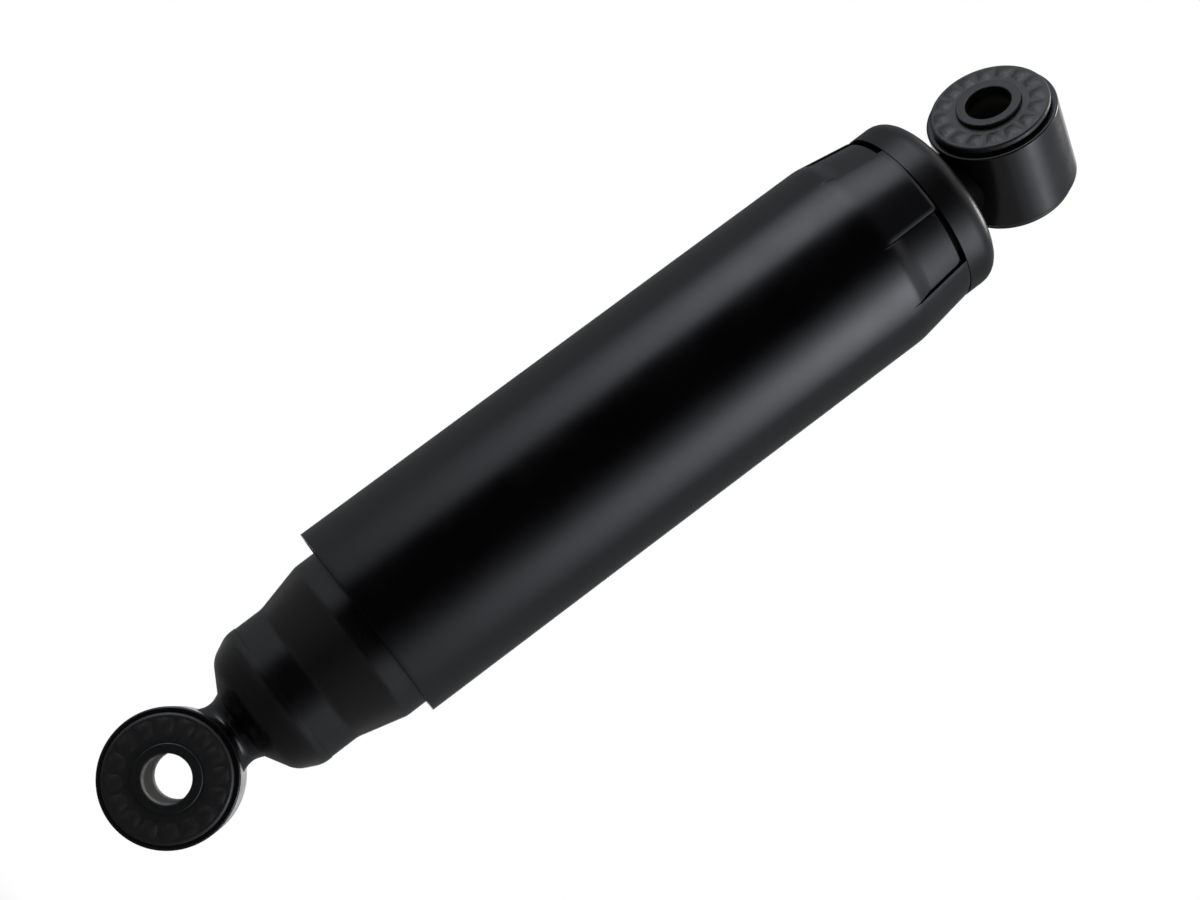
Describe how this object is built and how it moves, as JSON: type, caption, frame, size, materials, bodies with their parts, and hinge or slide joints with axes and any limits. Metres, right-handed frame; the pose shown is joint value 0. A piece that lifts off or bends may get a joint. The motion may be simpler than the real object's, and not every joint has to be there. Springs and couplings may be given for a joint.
{
  "type": "shock absorber",
  "caption": "Twin-tube telescopic shock absorber with a rubber-bushed eye at each end, a necked reservoir tube and a plastic dust tube snapped onto the upper cap.",
  "frame": {"origin": "centre of the lower eye's bolt bore", "axes": "+Z along the shock from the lower eye to the upper eye, +Y along the lower eye's bore, +X across it"},
  "size_m": [0.075, 0.075, 0.4122],
  "materials": {
    "painted_steel": "black stoved paint, semi-gloss",
    "dust_plastic": "moulded black plastic, satin",
    "bush_rubber": "moulded black rubber, matt",
    "sleeve_steel": "turned steel with a thin phosphate coat",
    "rod_chrome": "ground and hard chromed",
    "drawn_steel": "bare drawn steel",
    "spring_steel": "blanked spring steel",
    "sintered_iron": "steam-treated sintered iron",
    "bearing_bronze": "bronze bearing strip",
    "band_plastic": "filled slippery plastic",
    "seal_rubber": "moulded oil-proof rubber"
  },
  "bodies": {
    "cylinder": {"lower_eye_ring": "painted_steel", "lower_bush_rubber": "bush_rubber", "base_cap": "painted_steel", "reservoir_tube": "painted_steel", "pressure_tube": "drawn_steel", "base_valve_body": "sintered_iron", "base_check_spring": "spring_steel", "compression_shims": "spring_steel", "base_valve_bolt": "drawn_steel", "base_valve_nut": "drawn_steel", "rod_guide": "sintered_iron", "guide_bush": "bearing_bronze", "oil_seal": "seal_rubber", "garter_spring": "spring_steel"},
    "lower_sleeve": {"lower_bush_sleeve": "sleeve_steel"},
    "base_check": {"base_check_disc": "spring_steel"},
    "piston_ring": {"piston_band": "band_plastic"},
    "rod": {"piston_rod": "rod_chrome", "rebound_stop": "drawn_steel", "rebound_bumper": "bush_rubber", "piston_backing_plate": "drawn_steel", "piston_check_spring": "spring_steel", "piston": "sintered_iron", "rebound_shims": "spring_steel", "piston_nut": "drawn_steel", "upper_cap": "painted_steel", "dust_tube": "dust_plastic", "upper_eye_ring": "painted_steel", "upper_bush_rubber": "bush_rubber"},
    "piston_check": {"piston_check_disc": "spring_steel"},
    "upper_sleeve": {"upper_bush_sleeve": "sleeve_steel"}
  },
  "joints": [
    {"name": "rod_slide", "type": "slide", "parent": "cylinder", "child": "piston_ring", "axis": [0, 0, 1], "range_m": [0, 0.16]},
    {"name": "rod_turn", "type": "hinge", "parent": "piston_ring", "child": "rod", "pos_m": [0, 0, 0.2], "axis": [0, 0, 1], "continuous": true},
    {"name": "lower_bush_twist", "type": "hinge", "parent": "cylinder", "child": "lower_sleeve", "pos_m": [0, 0, 0], "axis": [0, 1, 0], "range_deg": [-15, 15], "stiffness_Nm_per_rad": 60},
    {"name": "upper_bush_twist", "type": "hinge", "parent": "rod", "child": "upper_sleeve", "pos_m": [0, 0, 0.36505], "axis": [0.6909, 0.723, 0], "range_deg": [-15, 15], "stiffness_Nm_per_rad": 60},
    {"name": "base_check_lift", "type": "slide", "parent": "cylinder", "child": "base_check", "axis": [0, 0, 1], "range_m": [0, 0.0009], "stiffness_N_per_m": 800, "deforming": ["base_check_spring"]},
    {"name": "piston_check_lift", "type": "slide", "parent": "rod", "child": "piston_check", "axis": [0, 0, 1], "range_m": [0, 0.0009], "stiffness_N_per_m": 800, "deforming": ["piston_check_spring"]}
  ]
}
